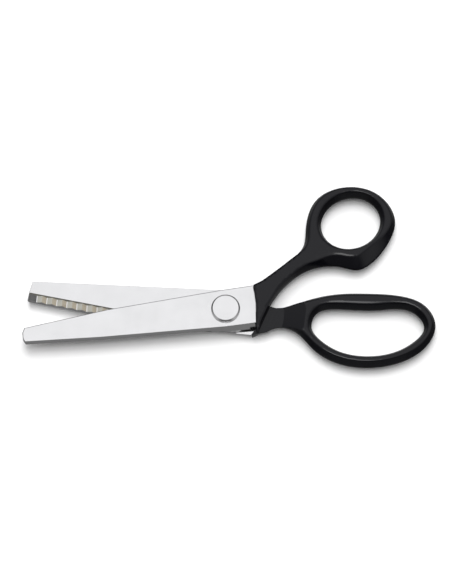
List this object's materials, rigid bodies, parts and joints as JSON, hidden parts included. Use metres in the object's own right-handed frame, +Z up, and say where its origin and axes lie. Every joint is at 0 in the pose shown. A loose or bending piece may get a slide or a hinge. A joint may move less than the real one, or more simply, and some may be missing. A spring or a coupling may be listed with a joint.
{
  "type": "pinking shears",
  "caption": "Pinking shears with saw-toothed steel blades on a large ball-bearing pivot, a round thumb ring and a long finger bow, for cutting fabric with a zigzag edge.",
  "frame": {"origin": "on the pivot axis, in the plane that the shears lie on, at the lower face of the pivot nut", "axes": "+Z up along the pivot axis, +X from the pivot towards the handles (the tips point to -X), +Y towards the thumb ring's side; drawn partly open"},
  "size_m": [0.2148, 0.101, 0.0128],
  "materials": {
    "polished_steel": "polished nickel-plated steel",
    "black_handle": "semi-gloss black, smooth",
    "plated_bolt": "polished nickel plate",
    "washer_steel": "zinc-plated",
    "spring_steel": "blued spring steel",
    "bearing_steel": "ground and hardened",
    "bronze": "phosphor bronze, satin",
    "brass": "pressed brass"
  },
  "bodies": {
    "rear_lever": {"rear_blade": "polished_steel", "finger_handle": "black_handle", "pivot_bolt": "plated_bolt", "pivot_nut": "plated_bolt", "tab_washer": "washer_steel", "spring_washer": "spring_steel", "blade_spacer": "bronze", "upper_race": "bearing_steel"},
    "front_lever": {"front_blade": "polished_steel", "thumb_handle": "black_handle", "lower_race": "bearing_steel"},
    "ball_ring": {"ball_cage": "brass", "bearing_balls": "bearing_steel"}
  },
  "joints": [
    {"name": "blade_hinge", "type": "hinge", "parent": "rear_lever", "child": "front_lever", "pos_m": [0, 0, 0.0085], "axis": [0, 0, 1], "range_deg": [-10.2, 40]},
    {"name": "ball_ring_spin", "type": "hinge", "parent": "rear_lever", "child": "ball_ring", "pos_m": [0, 0, 0.0093], "axis": [0, 0, 1], "range_deg": [-5.1, 20]}
  ],
  "couplings": [
    {"joint": "ball_ring_spin", "follows": "blade_hinge", "ratio": 0.5}
  ]
}
